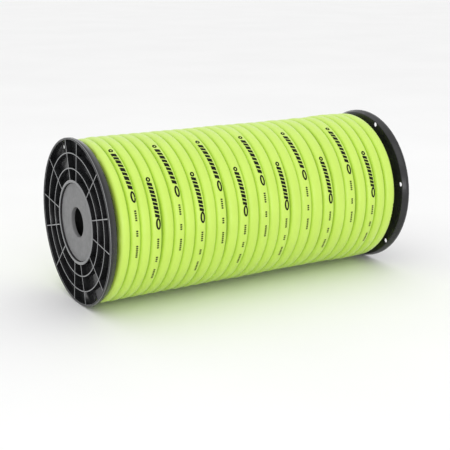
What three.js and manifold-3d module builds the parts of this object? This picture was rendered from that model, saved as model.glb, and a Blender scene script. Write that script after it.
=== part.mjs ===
// Bulk spool of garden hose, lying on its side. Millimetres, +Z up, spool axis along X.
// z = 0 is the floor under the two flange rims. Angles round the axis ("turn angles") are in
// degrees from straight up, going round past -Y.
import * as THREE from 'three';
import { mergeVertices } from 'three/addons/utils/BufferGeometryUtils.js';
import Module from 'manifold-3d';

const wasm = await Module();
wasm.setup();

// ---- driving dimensions ----
const FLANGE_R = 145;            // outer radius of both flanges
const FLANGE_T = 14;             // depth of the flange moulding
const INNER_WIDTH = 586;         // traverse between the flanges
const WEB_T = 2;                 // the flange's solid disc
const RIM_WALL = 3.6;            // thickness of the outer rim
const RIB_W = 1.8;               // thickness of every moulded rib
const RIB_STEP = 1.4;            // ribs stop this far below the rim
const RING_RIBS = [92.8, 118.9]; // mid radius of the two circular ribs
const HUB_RING = [68.3, 73];     // inner and outer radius of the ring round the hub plate
const PLATE_R = 67.9;
const PLATE_T = 7;
const PLATE_RECESS = 4.6;        // hub plate's face below the rim face
const BORE_R = 26;               // arbor bore
const SPIGOT = [60, 73.2];       // collar of the flange that the barrel fits over
const SPIGOT_LENGTH = 12;
const BARREL = [73.5, 80];       // inner and outer radius of the core barrel
const HOSE_OD = 22;
const LAYER_R = 130;             // middle of the outer layer of hose
const PACK_R = [142, 140];       // over the outer layer at the left and at the right flange
const PACK_GAP = 12.5;           // the winding to the right flange
const LAST_TURN_X = 24.5;        // middle of the outer layer's last turn to the right flange
const TIE_ANGLE = 260;           // turn angle of the tie, at a rim hole of the right flange
const LAST_TURN = [244, 560];    // turn angles of the hose's cut end and of the far end of that turn
const STRAP_T = 1.2;
const STRAP_W = 4.6;
const HOLE_R = 4.3;              // tie holes near the rim
const HOLE_PITCH_R = 136;
const LEFT_HOLES = [28, 91, 157, 211, 271, 331];
const RIGHT_HOLES = [23, 80, 134, 203, TIE_ANGLE, 314];
const RIB_OFFSETS = [12, 43.5, 80]; // radial ribs, each side of the line through RIB_AXIS
const RIB_AXIS = 87;
const GAP = 0.3;                 // between pieces that touch
const SEGMENTS = 64;

// The rims are polygons that rest on one facet.
const AXIS_HEIGHT = FLANGE_R * Math.cos(Math.PI / SEGMENTS);

const SIDE = { left: -1, right: 1 };
const rad = THREE.MathUtils.degToRad;
const innerFace = INNER_WIDTH / 2;

function plastic(color, roughness) {
  return new THREE.MeshStandardMaterial({ color, roughness, metalness: 0 });
}

// ---- helpers ----

// Revolves closed [axial, radius] points round X, with a flat facet at the very bottom.
function revolve(points, segments = SEGMENTS) {
  const profile = points.map(([axial, radius]) => new THREE.Vector2(radius, axial));
  profile.push(profile[0].clone());
  const geometry = new THREE.LatheGeometry(profile, segments, Math.PI / segments);
  return geometry.rotateZ(-Math.PI / 2);
}

function toManifold(geometry) {
  const plain = geometry.clone();
  plain.deleteAttribute('normal');
  plain.deleteAttribute('uv');
  const merged = mergeVertices(plain, 1e-4);
  return new wasm.Manifold(new wasm.Mesh({
    numProp: 3,
    vertProperties: new Float32Array(merged.attributes.position.array),
    triVerts: new Uint32Array(merged.index.array),
  }));
}

function toGeometry(solid) {
  const mesh = solid.getMesh();
  const geometry = new THREE.BufferGeometry();
  geometry.setAttribute('position', new THREE.BufferAttribute(new Float32Array(mesh.vertProperties), 3));
  geometry.setIndex(new THREE.BufferAttribute(new Uint32Array(mesh.triVerts), 1));
  geometry.computeVertexNormals();
  return geometry;
}

// Turns a shape that stands at turn angle 0 round the axis to the given turn angle.
function atTurn(geometry, degrees) {
  return geometry.rotateX(rad(degrees));
}

function piece(name, geometry, material) {
  const mesh = new THREE.Mesh(geometry.translate(0, 0, AXIS_HEIGHT), material);
  mesh.name = name;
  return mesh;
}

// A solid built facing +X becomes the left one by half a turn about Z.
function facing(side, geometry) {
  return side === SIDE.left ? geometry.rotateZ(Math.PI) : geometry;
}

// ---- flange ----

// Web, outer rim, circular ribs, hub ring and barrel spigot in one section.
// Axial 0 is the face against the hose, and the rim ends at FLANGE_T.
function flangeSection() {
  const ribTop = FLANGE_T - RIB_STEP;
  const seat = FLANGE_T - PLATE_RECESS - PLATE_T - GAP;
  const rimInside = FLANGE_R - RIM_WALL;
  const points = [
    [-SPIGOT_LENGTH, SPIGOT[0]], [-SPIGOT_LENGTH, SPIGOT[1] - 1], [-SPIGOT_LENGTH + 1, SPIGOT[1]],
    [0, SPIGOT[1]],
    [0, FLANGE_R - 4.6], [0.8, FLANGE_R - 3.4], [7.4, FLANGE_R - 0.5], [8.4, FLANGE_R],
    [12.4, FLANGE_R], [13.6, FLANGE_R - 0.5], [FLANGE_T, FLANGE_R - 1.2],
    [FLANGE_T, rimInside + 0.6], [FLANGE_T - 0.6, rimInside],
    [WEB_T, rimInside],
  ];
  for (const radius of [...RING_RIBS].reverse()) {
    points.push([WEB_T, radius + RIB_W / 2 + 0.2], [ribTop, radius + RIB_W / 2],
      [ribTop, radius - RIB_W / 2], [WEB_T, radius - RIB_W / 2 - 0.2]);
  }
  points.push([WEB_T, HUB_RING[1] + 0.2], [ribTop, HUB_RING[1]], [FLANGE_T - 0.8, HUB_RING[1] - 1.6],
    [FLANGE_T - 0.8, HUB_RING[0] + 1], [FLANGE_T - 1.6, HUB_RING[0]], [seat, HUB_RING[0]],
    [seat, SPIGOT[0]]);
  return points.map(([axial, radius]) => [innerFace + axial, radius]);
}

function radialRib(degrees) {
  const from = (HUB_RING[0] + HUB_RING[1]) / 2;
  const to = FLANGE_R - RIM_WALL + 0.15;   // stays inside the sloping rim
  const top = FLANGE_T - RIB_STEP;
  const rib = new THREE.BoxGeometry(top - WEB_T / 2, RIB_W, to - from);
  rib.translate(innerFace + (top + WEB_T / 2) / 2, 0, (from + to) / 2);
  return toManifold(atTurn(rib, degrees));
}

function tieHole(degrees) {
  const drill = new THREE.CylinderGeometry(HOLE_R, HOLE_R, 4 * WEB_T, 16).rotateZ(-Math.PI / 2);
  drill.translate(innerFace + WEB_T / 2, 0, HOLE_PITCH_R);
  return toManifold(atTurn(drill, degrees));
}

// Ribs mirror about RIB_AXIS and about the line square to it.
function ribAngles() {
  return [RIB_AXIS, RIB_AXIS + 180].flatMap((axis) =>
    RIB_OFFSETS.flatMap((offset) => [axis - offset, axis + offset]));
}

function flange(side, holes) {
  let solid = toManifold(revolve(flangeSection()));
  for (const degrees of ribAngles()) solid = solid.add(radialRib(side * degrees));
  for (const degrees of holes) solid = solid.subtract(tieHole(side * degrees));
  return facing(side, toGeometry(solid));
}

// ---- hub and barrel ----

function hubPlate(side) {
  const face = innerFace + FLANGE_T - PLATE_RECESS;
  const back = face - PLATE_T;
  return facing(side, revolve([
    [back, BORE_R], [back, PLATE_R], [face - 0.8, PLATE_R], [face, PLATE_R - 0.8],
    [face, BORE_R + 1], [face - 1, BORE_R],
  ], 64));
}

function coreBarrel() {
  const end = innerFace - GAP;
  return revolve([[-end, BARREL[0]], [-end, BARREL[1]], [end, BARREL[1]], [end, BARREL[0]]], 64);
}

// ---- hose ----

// All the hose but the outer layer's last turn, as one ring: lower beside the right flange.
function hoseWinding() {
  const left = -innerFace + GAP;
  const step = innerFace - LAST_TURN_X - HOSE_OD / 2 - STRAP_T - 2 * GAP;
  const right = innerFace - PACK_GAP;
  const lower = LAYER_R - HOSE_OD / 2 - STRAP_T - 1.4;
  const round = 6;
  return revolve([
    [left, BARREL[1] + GAP], [left, PACK_R[0] - round],
    [left + round * 0.3, PACK_R[0] - round * 0.3], [left + round, PACK_R[0]],
    [step - round, PACK_R[1]], [step - round * 0.3, PACK_R[1] - round * 0.3],
    [step, PACK_R[1] - round], [step, lower], [right, lower], [right, BARREL[1] + GAP],
  ]);
}

class TurnArc extends THREE.Curve {
  getPoint(t) {
    const angle = rad(THREE.MathUtils.lerp(...LAST_TURN, t));
    return new THREE.Vector3(
      innerFace - LAST_TURN_X, -Math.sin(angle) * LAYER_R, Math.cos(angle) * LAYER_R);
  }
}

// The outer layer's last turn, from the cut end behind, over the top and round below.
function hoseLastTurn() {
  const section = new THREE.Shape();
  const sides = 12;
  for (let i = 0; i < sides; i += 1) {
    const angle = (i * 2 * Math.PI) / sides;
    const [x, y] = [Math.cos(angle) * HOSE_OD / 2, Math.sin(angle) * HOSE_OD / 2];
    if (i) section.lineTo(x, y); else section.moveTo(x, y);
  }
  section.closePath();
  return new THREE.ExtrudeGeometry(section, { steps: 40, extrudePath: new TurnArc() });
}

// ---- tie ----

// Middle line of the strap, [axial outward from the flange's inner face, radius]: out through the
// rim hole, over the rim, across to the last turn of hose, round it, and back to the hole.
function strapLine() {
  const centre = [-LAST_TURN_X, LAYER_R];
  const wrap = HOSE_OD / 2 + GAP + STRAP_T / 2;
  const out = FLANGE_T + GAP + STRAP_T / 2;
  const over = FLANGE_R + GAP + STRAP_T / 2;
  const points = [[out, HOLE_PITCH_R], [out, over - 1.2], [out - 1.2, over], [FLANGE_T / 2, over]];
  for (let degrees = 75; degrees <= 375; degrees += 15) {
    points.push([centre[0] + wrap * Math.cos(rad(degrees)), centre[1] + wrap * Math.sin(rad(degrees))]);
  }
  points.push([-1, HOLE_PITCH_R]);
  return points;
}

// Points of a closed line moved sideways by a distance.
function offsetLine(points, distance) {
  return points.map((point, i) => {
    const before = points[(i + points.length - 1) % points.length];
    const after = points[(i + 1) % points.length];
    const [a, b] = [[point, before], [after, point]].map(([p, q]) =>
      new THREE.Vector2(p[0] - q[0], p[1] - q[1]).normalize());
    const normal = new THREE.Vector2(a.y + b.y, -a.x - b.x).normalize();
    const miter = distance / Math.max(0.5, normal.dot(new THREE.Vector2(a.y, -a.x)));
    return new THREE.Vector2(point[0] + normal.x * miter, point[1] + normal.y * miter);
  });
}

function tieStrap() {
  const line = strapLine();
  const strap = new THREE.Shape(offsetLine(line, STRAP_T / 2));
  strap.holes.push(new THREE.Path(offsetLine(line, -STRAP_T / 2)));
  const geometry = new THREE.ExtrudeGeometry(strap, { depth: STRAP_W, bevelEnabled: false });
  // Drawn in the (outward, radius) plane, then stood up: outward is +X, radius is Z.
  geometry.translate(0, 0, -STRAP_W / 2).rotateX(Math.PI / 2);
  geometry.translate(innerFace, 0, 0);
  return atTurn(geometry, TIE_ANGLE);
}

// The tie's ratchet head, a small block on the strap between the rim and the hose.
function tieHead() {
  const [length, height] = [7, 4.2];
  const head = new THREE.BoxGeometry(length, STRAP_W + 3, height);
  head.translate(innerFace - 2, 0, FLANGE_R + GAP + STRAP_T + GAP + height / 2);
  return atTurn(head, TIE_ANGLE);
}

// ---- assembly ----

const black = () => plastic(0x141516, 0.35);
const lime = () => plastic(0xb4ee3a, 0.55);

const spool = new THREE.Group();
spool.name = 'hose_spool';
spool.add(
  piece('flange_left', flange(SIDE.left, LEFT_HOLES), black()),
  piece('flange_right', flange(SIDE.right, RIGHT_HOLES), black()),
  piece('hub_plate_left', hubPlate(SIDE.left), plastic(0x5a5b5c, 0.8)),
  piece('hub_plate_right', hubPlate(SIDE.right), plastic(0x5a5b5c, 0.8)),
  piece('core_barrel', coreBarrel(), plastic(0x1c1d1e, 0.6)),
  piece('hose_winding', hoseWinding(), lime()),
  piece('hose_last_turn', hoseLastTurn(), lime()),
  piece('end_tie_strap', tieStrap(), black()),
  piece('end_tie_head', tieHead(), black()),
);

export default spool;
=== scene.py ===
"""Bulk spool of garden hose: real wound hose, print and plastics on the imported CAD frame. Metres."""
import math
import random

import bpy
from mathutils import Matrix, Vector


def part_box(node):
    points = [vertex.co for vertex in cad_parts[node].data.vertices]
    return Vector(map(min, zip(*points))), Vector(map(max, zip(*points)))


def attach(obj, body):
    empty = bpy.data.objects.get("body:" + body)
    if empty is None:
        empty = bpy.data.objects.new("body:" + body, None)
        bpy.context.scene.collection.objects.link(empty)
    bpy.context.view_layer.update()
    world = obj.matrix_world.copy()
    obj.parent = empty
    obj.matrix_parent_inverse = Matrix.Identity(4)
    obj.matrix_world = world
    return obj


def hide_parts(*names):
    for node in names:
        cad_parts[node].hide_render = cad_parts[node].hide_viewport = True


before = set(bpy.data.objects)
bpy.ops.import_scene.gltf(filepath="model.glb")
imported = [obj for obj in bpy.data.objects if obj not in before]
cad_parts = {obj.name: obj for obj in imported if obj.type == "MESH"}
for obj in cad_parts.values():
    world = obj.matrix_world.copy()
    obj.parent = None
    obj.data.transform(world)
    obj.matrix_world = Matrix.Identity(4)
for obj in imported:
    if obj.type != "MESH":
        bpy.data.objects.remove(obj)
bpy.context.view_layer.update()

MM = 0.001
rng = random.Random(7)

# ---- places taken from the frame ----
flange_low, flange_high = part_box("flange_left")
winding_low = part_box("hose_winding")[0]
AXIS_Z = (flange_low.z + flange_high.z) / 2
INNER_LEFT = winding_low.x - 0.3 * MM       # inner face of the left flange
RIB_TOP_X = abs(flange_low.x) - 1.15 * MM   # tops of the flanges' ribs and hub rings
RIB_TOP_REACH = 0.45 * MM

# ---- hose ----
HOSE_D = 22 * MM                # outside diameter
BORE_D = 15.9 * MM
OUTER_R = 130 * MM              # centre of the outer layer
LAYER_STEP = 19.45 * MM         # layer to layer
STRANDS = 26                    # turns across the spool
START_GAP = 1.2 * MM            # first strand to the left flange
PITCH_LEFT = 20 * MM            # turns lie tighter at the left flange than at the right
PITCH_RIGHT = 24 * MM
BOW = 4.5 * MM                  # strands bow in front: to the right at the left, and back at the right
BOW_TURN = (75 / 360, 0.25)     # middle and reach of the bow round the spool
LOOSE = (21.7, 2.8, 10 * MM)    # strand, reach and shift of a stretch that is wound loosely
TIGHT = 2.5 * MM                # the other strands lie closer to the left flange
OPEN_EVERY = 6                  # strands between seams that stand open in front
OPEN_SEAM = 4
OPENING = 1.2 * MM              # each way
OPEN_TURN = (84 / 360, 0.13)    # middle and reach of the open part round the spool
WAVER = (0.12 * MM, 11.3)       # a faint waver of each strand: size, and radians per turn
SQUARE = 2.9                    # superellipse power of the pressed section
FILL = 0.98                     # share of the room between its neighbours that the hose fills
MOST_HALF_WIDTH = 11.7 * MM     # of the pressed section, where the hose is wound loosely
ROUND_END = (0.1, 0.2)          # turns from the cut end to where it is pressed: start, and how long
SIDES = 20                      # of the hose's section
OUTER_STEPS = 96                # per turn, in the outer layer
BURIED_STEPS = 30               # per turn, below it
BORE_DEPTH = 20 * MM            # how far the bore is modelled behind the cut end
DRIFT = 0.06                    # share of each turn's step taken evenly; the rest is in the crossing
CROSSING = 0.51                 # part of a turn where the hose starts to step over, below and behind
CROSSING_SHARE = 0.155          # of a turn
START_TURN = 244 / 360 - 1      # the cut end, before the outer layer's first full turn
DESCENT = (25.417, 0.25)        # where the outer layer's last turn goes down a layer, and how long for
SECOND_DESCENT = (50.6, 0.6)
MIDDLE_START = 25.3             # the buried layers run as even helices from these turns
INNER_START = 51.0
LAST = 76.2                     # the buried end, by the barrel
TIE_TURN = (260 / 360, 0.15)    # where the strap takes some room beside the hose's end
TIE_ROOM = 0.45 * MM            # less for each turn, to none at the fourth
SAG_TURN = (331 / 360, 0.13)    # the first strand lies low behind the left flange's top hole
SAG = 2.8 * MM


def smooth(t):
    t = min(1.0, max(0.0, t))
    return (1 - math.cos(math.pi * t)) / 2


def eased(t, width=0.3):
    """t, but leaving zero gently."""
    return 0.0 if t < 0 else t * t / (2 * width) if t < width else t - width / 2


def strand_x(u):
    """X of a place u strands from the left flange."""
    strand, reach, shift = LOOSE
    loose = shift * math.exp(-((u - strand) / reach) ** 2) - TIGHT * smooth(u / 3)
    widening = (PITCH_RIGHT - PITCH_LEFT) / (2 * STRANDS)
    return INNER_LEFT + START_GAP + PITCH_LEFT * u + widening * u * u + loose


def opened(u):
    """How far a strand is pushed aside by the nearest open seam."""
    past = (u - OPEN_SEAM + OPEN_EVERY / 2) % OPEN_EVERY - OPEN_EVERY / 2
    return math.copysign(OPENING * max(0.0, 1 - (abs(past) - 0.5) / 2), past)


def outer_strand(turn):
    """Strands from the left in the outer layer: nearly level, then over to the next in the crossing."""
    passed = turn - CROSSING
    whole = max(0, min(STRANDS - 1, math.floor(passed)))
    part = smooth((passed - whole) / CROSSING_SHARE) if 0 <= passed < STRANDS - 1 else 0.0
    return STRANDS - 0.5 - DRIFT * min(turn, STRANDS - 1) - (1 - DRIFT) * (whole + part)


def strand_at(turn):
    """(strands from the left, radius) of the hose's centre, counted in turns from the outer layer."""
    middle = eased(turn - MIDDLE_START)
    inner = 2 * eased(turn - INNER_START)
    down = sum(smooth((turn - start) / long) for start, long in (DESCENT, SECOND_DESCENT))
    return outer_strand(turn) + middle - inner, OUTER_R - LAYER_STEP * down


def near(turn, centre, reach):
    """1 at a place round the spool, falling to 0 at so many turns from it."""
    apart = abs((turn - centre + 0.5) % 1 - 0.5) / reach
    return 0.5 * (1 + math.cos(min(1.0, apart) * math.pi))


wander = [(rng.uniform(-0.35, 0.35) * MM, rng.uniform(-0.5, 0.3) * MM) for _ in range(STRANDS + 1)]
wander += [(0, 0)]


def hose_point(turn):
    """The hose's centre; the outer layer also wavers, bows, opens and sags."""
    u, radius = strand_at(turn)
    x = strand_x(u)
    if turn < STRANDS:
        whole, part = math.floor(turn) + 1, smooth(turn % 1)
        (x0, r0), (x1, r1) = wander[whole], wander[whole + 1]
        x += x0 * (1 - part) + x1 * part + WAVER[0] * math.sin(turn * WAVER[1])
        radius += r0 * (1 - part) + r1 * part
        x += BOW * math.cos(math.pi * u / STRANDS) * smooth((STRANDS - u) / 4) * near(turn, *BOW_TURN)
        x += opened(u) * near(turn, *OPEN_TURN)
        beside_hole = SAG * near(turn, *SAG_TURN)
        x += beside_hole * max(0.0, 1.2 - u / 4)
        radius -= beside_hole * max(0.0, 1.5 - u)
        if turn > 0:
            x -= TIE_ROOM * max(0.0, 4 - turn) * near(turn, *TIE_TURN)
    angle = turn * 2 * math.pi
    return Vector((x, -math.sin(angle) * radius, AXIS_Z + math.cos(angle) * radius))


def hose_frame(turn):
    """(centre, along the hose, sideways, outward) at a place on the hose."""
    step = 0.002
    angle = turn * 2 * math.pi
    along = (hose_point(turn + step) - hose_point(turn - step)).normalized()
    side = along.cross(Vector((0, -math.sin(angle), math.cos(angle)))).normalized()
    return hose_point(turn), along, side, side.cross(along).normalized()


def section_shape(turn):
    """(half width, half height, power): the hose is pressed by its neighbours, and round near its end."""
    u = strand_at(turn)[0]
    free = 1 - smooth((turn - START_TURN - ROUND_END[0]) / ROUND_END[1])
    half_w = min(MOST_HALF_WIDTH, (strand_x(u + 0.5) - strand_x(u - 0.5)) * FILL / 2)
    half_h = HOSE_D - half_w / FILL
    half_w += (HOSE_D / 2 - half_w) * free
    half_h += (HOSE_D / 2 - half_h) * free
    return half_w, half_h, SQUARE + (2 - SQUARE) * free


def section(turn, angle):
    """Offset of the hose's skin from its centre."""
    half_w, half_h, power = section_shape(turn)
    c, s = math.cos(angle), math.sin(angle)
    return (math.copysign(abs(c) ** (2 / power), c) * half_w,
            math.copysign(abs(s) ** (2 / power), s) * half_h)


def mesh_object(name, verts, faces, material):
    """A smooth-shaded piece that rides on the spool."""
    mesh = bpy.data.meshes.new(name)
    mesh.from_pydata(verts, [], faces)
    mesh.validate()
    for poly in mesh.polygons:
        poly.use_smooth = True
    obj = bpy.data.objects.new(name, mesh)
    bpy.context.scene.collection.objects.link(obj)
    obj.data.materials.append(material)
    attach(obj, "root")
    return obj


def hose_turns():
    """Places along the hose from the buried end: coarse where it is buried, fine in the outer layer."""
    below = round((LAST - STRANDS) * BURIED_STEPS)
    buried = [LAST - i * (LAST - STRANDS) / below for i in range(below)]
    count = round((STRANDS - START_TURN) * OUTER_STEPS)
    return buried + [STRANDS - i * (STRANDS - START_TURN) / count for i in range(count + 1)]


def join_rings(faces, start, end):
    """Faces between two rings of the hose, given by their first vertices."""
    for k in range(SIDES):
        n = (k + 1) % SIDES
        faces.append((start + n, start + k, end + k, end + n))


def build_hose(material):
    """(the hose, its centre line, its length), from the buried end to the cut end."""
    verts, faces, path = [], [], []
    turns = hose_turns()
    for turn in turns:
        centre, along, side, out = hose_frame(turn)
        path.append(centre)
        for k in range(SIDES):
            a, b = section(turn, 2 * math.pi * k / SIDES)
            verts.append(centre + side * a + out * b)
    last = (len(turns) - 1) * SIDES
    for ring in range(0, last, SIDES):
        join_rings(faces, ring, ring + SIDES)
    faces.append(tuple(range(SIDES)))
    # The cut end: a ring of wall, then the bore going back inside.
    centre, along, side, out = hose_frame(START_TURN)
    radius = BORE_D / 2
    for depth in (0.0, BORE_DEPTH):
        ring = len(verts)
        for k in range(SIDES):
            angle = 2 * math.pi * k / SIDES
            verts.append(centre + along * depth + side * math.cos(angle) * radius + out * math.sin(angle) * radius)
        join_rings(faces, last, ring)
        last = ring
    faces.append(tuple(last + k for k in reversed(range(SIDES))))
    hose = mesh_object("hose", verts, faces, material)
    length = sum((b - a).length for a, b in zip(path, path[1:]))
    return hose, path, length


# ---- print on the hose: generic marks only ----

TURN_LENGTH = 2 * math.pi * OUTER_R
PATCH_STEP = (2.5 * MM, 1.6 * MM)   # along and across, so that a patch follows the hose
RING_POINTS = 40
FIRST_BAR = 12 * MM                 # from the start of a group
BARS = (6.3, 4.9, 6.3, 4.9, 6.3, 4.9, 6.3, 4.9, 5.7)    # mm along the hose
BAR_GAP = 1.8
BAR_HALF = 4.2 * MM
BAR_SLANT = -0.3
ASKEW = 0.052                       # how far the bars drift across for each step along
TICK_ROWS = ((5, 13), (3, 13), (6, 0))                  # ticks, and mm to the next row
TICK_PITCH = 3.4 * MM
UPPER_GROUP = (22.5, 1.03)          # degrees round from the top, and stretch
LOWER_GROUP = (50.5, 0.82)
EDGE_TICKS = (94 / 360, 6, 6.4 * MM)                    # turn, count and pitch


def skin_point(turn, across, lift=0.12 * MM):
    """A point just above the crown of the hose, so far across it."""
    centre, along, side, out = hose_frame(turn)
    half_w, half_h, power = section_shape(turn)
    height = half_h * (1 - abs(across / half_w) ** power) ** (1 / power)
    return centre + side * across + out * (height + lift)


class Print:
    """Marks that lie just above the hose, gathered into one mesh."""

    def __init__(self):
        self.verts, self.faces = [], []

    def patch(self, turn, start, end, low, high, slant=0.0):
        """A block from start to end along the hose and low to high across it; + is to the left."""
        rows = max(1, math.ceil((end - start) / PATCH_STEP[0]))
        cols = max(1, math.ceil((high - low) / PATCH_STEP[1]))
        base = len(self.verts)
        for i in range(rows + 1):
            for j in range(cols + 1):
                across = low + (high - low) * j / cols
                along = start + (end - start) * i / rows + slant * across
                self.verts.append(skin_point(turn + along / TURN_LENGTH, across))
        for i in range(rows):
            for j in range(cols):
                a = base + i * (cols + 1) + j
                self.faces.append((a, a + 1, a + cols + 2, a + cols + 1))

    def ring(self, turn, centre, middle, long, wide, line):
        """An outlined oblong with round ends, its centre so far along the hose and across it."""
        base = len(self.verts)
        for i in range(RING_POINTS):
            angle = 2 * math.pi * i / RING_POINTS
            for scale in (0.0, line):
                along = centre + math.cos(angle) * (long / 2 - scale)
                across = middle + math.sin(angle) * (wide / 2 - scale)
                self.verts.append(skin_point(turn + along / TURN_LENGTH, across))
        for i in range(RING_POINTS):
            a, b = base + 2 * i, base + 2 * ((i + 1) % RING_POINTS)
            self.faces.append((a, b, b + 1, a + 1))


def print_group(marks, turn, stretch):
    """One repeat of the print: a dot, a band of slanted bars, an open oblong and three rows of ticks.

    The band runs a little askew, from the left of the hose's crown to the right of it.
    """
    marks.ring(turn, 4 * MM, 1.8 * MM, 8 * MM, 7.6 * MM, 2.4 * MM)
    at = FIRST_BAR
    for width in BARS:
        middle = (2.2 - ASKEW * at / MM) * MM
        marks.patch(turn, at * stretch, (at + width * MM) * stretch,
                    middle - BAR_HALF, middle + BAR_HALF, BAR_SLANT)
        at += (width + BAR_GAP) * MM
    marks.ring(turn, (at + 10.5 * MM) * stretch, -2.2 * MM, 18 * MM, 9.4 * MM, 3.1 * MM)
    at = at * stretch + 31 * MM
    for ticks, gap in TICK_ROWS:
        for _ in range(ticks):
            marks.patch(turn, at, at + 2.2 * MM, -2.6 * MM, 1 * MM)
            at += TICK_PITCH
        at += gap * MM


def build_print(material):
    """A group on every second strand, high and low by turns."""
    marks = Print()
    for back in range(1, STRANDS - 1, 2):
        start, stretch = UPPER_GROUP if back % 4 == 1 else LOWER_GROUP
        print_group(marks, STRANDS - 1 - back + start / 360, stretch)
    # The turn beside the right flange is twisted, so only the edge of its small print shows.
    turn, count, pitch = EDGE_TICKS
    for tick in range(count):
        start = tick * pitch
        marks.patch(turn, start, start + 4.4 * MM, -8.8 * MM, -6.2 * MM)
    return mesh_object("hose_print", marks.verts, marks.faces, material)


# ---- materials ----

SHARP_ANGLE = math.radians(30)      # edges over this are bevelled and kept sharp


def node_material(name):
    material = bpy.data.materials.new(name)
    material.use_nodes = True
    tree = material.node_tree
    return material, tree, tree.nodes["Principled BSDF"]


def noise(tree, scale, detail=4.0):
    coords = tree.nodes.new("ShaderNodeTexCoord")
    texture = tree.nodes.new("ShaderNodeTexNoise")
    texture.inputs["Scale"].default_value = scale
    texture.inputs["Detail"].default_value = detail
    tree.links.new(coords.outputs["Object"], texture.inputs["Vector"])
    return texture.outputs["Fac"]


def ramp(tree, value, low, high, start=0.35, end=0.65):
    """A colour ramp; low and high are greys or colours."""
    node = tree.nodes.new("ShaderNodeValToRGB")
    for element, position, colour in zip(node.color_ramp.elements, (start, end), (low, high)):
        element.position = position
        element.color = (*colour, 1) if hasattr(colour, "__len__") else (colour, colour, colour, 1)
    tree.links.new(value, node.inputs["Fac"])
    return node.outputs["Color"]


def bump(tree, shader, value, strength, distance):
    node = tree.nodes.new("ShaderNodeBump")
    node.inputs["Strength"].default_value = strength
    node.inputs["Distance"].default_value = distance
    tree.links.new(value, node.inputs["Height"])
    tree.links.new(node.outputs["Normal"], shader.inputs["Normal"])


def hose_material():
    material, tree, shader = node_material("lime_hose")
    tint = ramp(tree, noise(tree, 18), (0.50, 0.72, 0.055), (0.525, 0.75, 0.065))
    tree.links.new(tint, shader.inputs["Base Color"])
    tree.links.new(ramp(tree, noise(tree, 140), 0.42, 0.56), shader.inputs["Roughness"])
    shader.inputs["Specular IOR Level"].default_value = 0.9
    shader.inputs["Coat Weight"].default_value = 0.5
    shader.inputs["Coat Roughness"].default_value = 0.5
    shader.inputs["Sheen Weight"].default_value = 0.15
    shader.inputs["Sheen Roughness"].default_value = 0.5
    bump(tree, shader, noise(tree, 900, 3), 0.12, 0.0002)
    return material


def print_material():
    material, tree, shader = node_material("black_print")
    tint = ramp(tree, noise(tree, 260), (0.004, 0.005, 0.003), (0.012, 0.015, 0.007), 0.4, 0.75)
    tree.links.new(tint, shader.inputs["Base Color"])
    tree.links.new(ramp(tree, noise(tree, 300), 0.6, 0.75), shader.inputs["Roughness"])
    shader.inputs["Specular IOR Level"].default_value = 0.15
    return material


def rib_tops_highlight_and_wear(tree, tint):
    """Paints a lighter grey on the tops of the ribs and of the hub ring, the only faces at their distance from the
    middle: a painted highlight, partly wear.
    """
    coords = tree.nodes.new("ShaderNodeTexCoord")
    split = tree.nodes.new("ShaderNodeSeparateXYZ")
    tree.links.new(coords.outputs["Object"], split.inputs["Vector"])
    near_top = tree.nodes.new("ShaderNodeMath")
    near_top.operation = "ABSOLUTE"
    tree.links.new(split.outputs["X"], near_top.inputs[0])
    band = tree.nodes.new("ShaderNodeMath")
    band.operation = "COMPARE"
    band.inputs[1].default_value = RIB_TOP_X
    band.inputs[2].default_value = RIB_TOP_REACH
    tree.links.new(near_top.outputs[0], band.inputs[0])
    mix = tree.nodes.new("ShaderNodeMix")
    mix.data_type = "RGBA"
    # the lighter grey of the rib tops: a painted highlight, partly wear
    mix.inputs[7].default_value = (0.2, 0.203, 0.208, 1)
    tree.links.new(band.outputs[0], mix.inputs[0])
    tree.links.new(tint, mix.inputs[6])
    return mix.outputs[2]


def moulding_material():
    material, tree, shader = node_material("black_moulding")
    tint = ramp(tree, noise(tree, 30), (0.011, 0.0112, 0.0122), (0.017, 0.0173, 0.0185))
    # the rib and hub ring tops get a painted highlight, partly wear
    tree.links.new(rib_tops_highlight_and_wear(tree, tint), shader.inputs["Base Color"])
    tree.links.new(ramp(tree, noise(tree, 45, 6), 0.16, 0.26), shader.inputs["Roughness"])
    shader.inputs["Specular IOR Level"].default_value = 0.4
    shader.inputs["Coat Weight"].default_value = 0.1
    shader.inputs["Coat Roughness"].default_value = 0.1
    bump(tree, shader, noise(tree, 350, 4), 0.08, 0.0003)
    return material


def plate_material():
    material, tree, shader = node_material("grey_plate")
    tint = ramp(tree, noise(tree, 60), (0.185, 0.186, 0.188), (0.21, 0.211, 0.213))
    tree.links.new(tint, shader.inputs["Base Color"])
    tree.links.new(ramp(tree, noise(tree, 220), 0.55, 0.75), shader.inputs["Roughness"])
    bump(tree, shader, noise(tree, 1400, 2), 0.25, 0.0002)
    return material


def core_material():
    material, tree, shader = node_material("core_tube")
    tint = ramp(tree, noise(tree, 40), (0.02, 0.02, 0.02), (0.035, 0.035, 0.034))
    tree.links.new(tint, shader.inputs["Base Color"])
    tree.links.new(ramp(tree, noise(tree, 90), 0.5, 0.7), shader.inputs["Roughness"])
    return material


def tie_material():
    material, tree, shader = node_material("nylon_tie")
    tint = ramp(tree, noise(tree, 200), (0.012, 0.012, 0.012), (0.02, 0.02, 0.02))
    tree.links.new(tint, shader.inputs["Base Color"])
    tree.links.new(ramp(tree, noise(tree, 300), 0.3, 0.45), shader.inputs["Roughness"])
    return material


def floor_material():
    material, tree, shader = node_material("pale_floor")
    tint = ramp(tree, noise(tree, 2), 0.89, 0.91)
    tree.links.new(tint, shader.inputs["Base Color"])
    shader.inputs["Roughness"].default_value = 0.8
    return material


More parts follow.
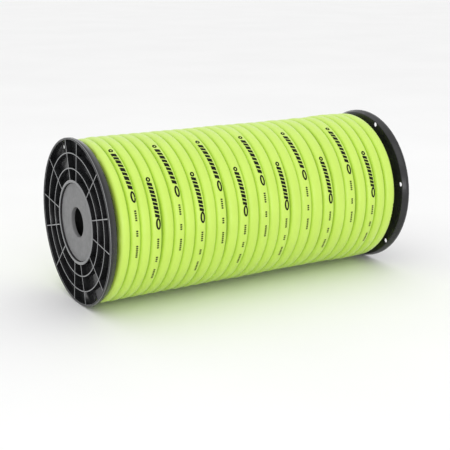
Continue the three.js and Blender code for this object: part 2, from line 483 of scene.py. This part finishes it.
def smooth_nodes():
    """Geometry nodes that shade faces smooth but keep edges over 30 degrees sharp."""
    tree = bpy.data.node_groups.new("smooth_by_angle", "GeometryNodeTree")
    tree.interface.new_socket("Geometry", in_out="INPUT", socket_type="NodeSocketGeometry")
    tree.interface.new_socket("Geometry", in_out="OUTPUT", socket_type="NodeSocketGeometry")
    start, end = tree.nodes.new("NodeGroupInput"), tree.nodes.new("NodeGroupOutput")
    faces, edges = (tree.nodes.new("GeometryNodeSetShadeSmooth") for _ in range(2))
    edges.domain = "EDGE"
    edges.inputs["Shade Smooth"].default_value = False
    angle = tree.nodes.new("GeometryNodeInputMeshEdgeAngle")
    over = tree.nodes.new("ShaderNodeMath")
    over.operation = "GREATER_THAN"
    over.inputs[1].default_value = SHARP_ANGLE
    tree.links.new(angle.outputs["Unsigned Angle"], over.inputs[0])
    tree.links.new(over.outputs[0], edges.inputs["Selection"])
    tree.links.new(start.outputs[0], faces.inputs["Geometry"])
    tree.links.new(faces.outputs[0], edges.inputs["Geometry"])
    tree.links.new(edges.outputs[0], end.inputs[0])
    return tree


def finish_cad(name, material, bevel, smoothing):
    """A carried-over CAD piece: its material, soft edges and smooth round faces."""
    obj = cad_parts[name]
    obj.data.materials.clear()
    obj.data.materials.append(material)
    weld = obj.modifiers.new("weld", "WELD")
    weld.merge_threshold = 0.00001
    edge = obj.modifiers.new("edge", "BEVEL")
    edge.width = bevel
    edge.segments = 2
    edge.limit_method = "ANGLE"
    edge.angle_limit = SHARP_ANGLE
    edge.use_clamp_overlap = True
    shade = obj.modifiers.new("shade", "NODES")
    shade.node_group = smoothing


# ---- stage ----

FLOOR_HALF = 12
# The photograph's viewpoint, from the spool's centre.
AZIMUTH, ELEVATION = math.radians(-30.75), math.radians(14.92)
DISTANCE = 1.907
LENS = 82.6
LEFTWARD, DOWNWARD = 0.0081, 0.0444     # the camera's own shift, for the framing


def build_floor():
    mesh = bpy.data.meshes.new("floor")
    corners = [(x * FLOOR_HALF, y * FLOOR_HALF, 0) for x, y in ((-1, -1), (1, -1), (1, 1), (-1, 1))]
    mesh.from_pydata(corners, [], [(0, 1, 2, 3)])
    floor = bpy.data.objects.new("floor", mesh)
    floor.data.materials.append(floor_material())
    bpy.context.scene.collection.objects.link(floor)


def area_light(name, location, target, size, energy, size_y=None):
    data = bpy.data.lights.new(name, "AREA")
    data.energy = energy
    data.shape = "RECTANGLE"
    data.size, data.size_y = size, size_y or size
    light = bpy.data.objects.new(name, data)
    light.location = location
    light.rotation_euler = (Vector(target) - Vector(location)).to_track_quat("-Z", "Y").to_euler()
    bpy.context.scene.collection.objects.link(light)


def build_lights():
    scene = bpy.context.scene
    scene.world = bpy.data.worlds.new("studio")
    scene.world.use_nodes = True
    background = scene.world.node_tree.nodes["Background"]
    background.inputs["Color"].default_value = (1, 1, 1, 1)
    background.inputs["Strength"].default_value = 1.0
    scene.view_settings.view_transform = "Standard"
    area_light("key", (-0.5, -1.9, 2.3), (0, 0, AXIS_Z), 1.8, 6)
    area_light("top", (0.1, 0.3, 2.4), (0, 0, AXIS_Z), 2.2, 4)
    area_light("fill", (-0.9, -2.3, 0.35), (0, 0, 0.1), 1.6, 9, 0.5)


def build_camera():
    back = Vector((math.sin(AZIMUTH) * math.cos(ELEVATION), -math.cos(AZIMUTH) * math.cos(ELEVATION),
                   math.sin(ELEVATION)))
    right = Vector((math.cos(AZIMUTH), math.sin(AZIMUTH), 0))
    up = back.cross(right)
    data = bpy.data.cameras.new("camera")
    data.sensor_width = 36
    data.lens = LENS
    camera = bpy.data.objects.new("camera", data)
    camera.location = Vector((0, 0, AXIS_Z)) + back * DISTANCE - right * LEFTWARD - up * DOWNWARD
    camera.rotation_euler = (-back).to_track_quat("-Z", "Y").to_euler()
    bpy.context.scene.collection.objects.link(camera)
    bpy.context.scene.camera = camera


build_camera()
build_lights()
build_floor()

hose, hose_path, hose_length = build_hose(hose_material())
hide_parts("hose_winding", "hose_last_turn")
printed = build_print(print_material())

moulding = moulding_material()
plate = plate_material()
tie = tie_material()
smoothing = smooth_nodes()
for side in ("left", "right"):
    finish_cad("flange_" + side, moulding, 0.25 * MM, smoothing)
    finish_cad("hub_plate_" + side, plate, 0.25 * MM, smoothing)
finish_cad("core_barrel", core_material(), 0.3 * MM, smoothing)
finish_cad("end_tie_strap", tie, 0.15 * MM, smoothing)
finish_cad("end_tie_head", tie, 0.4 * MM, smoothing)
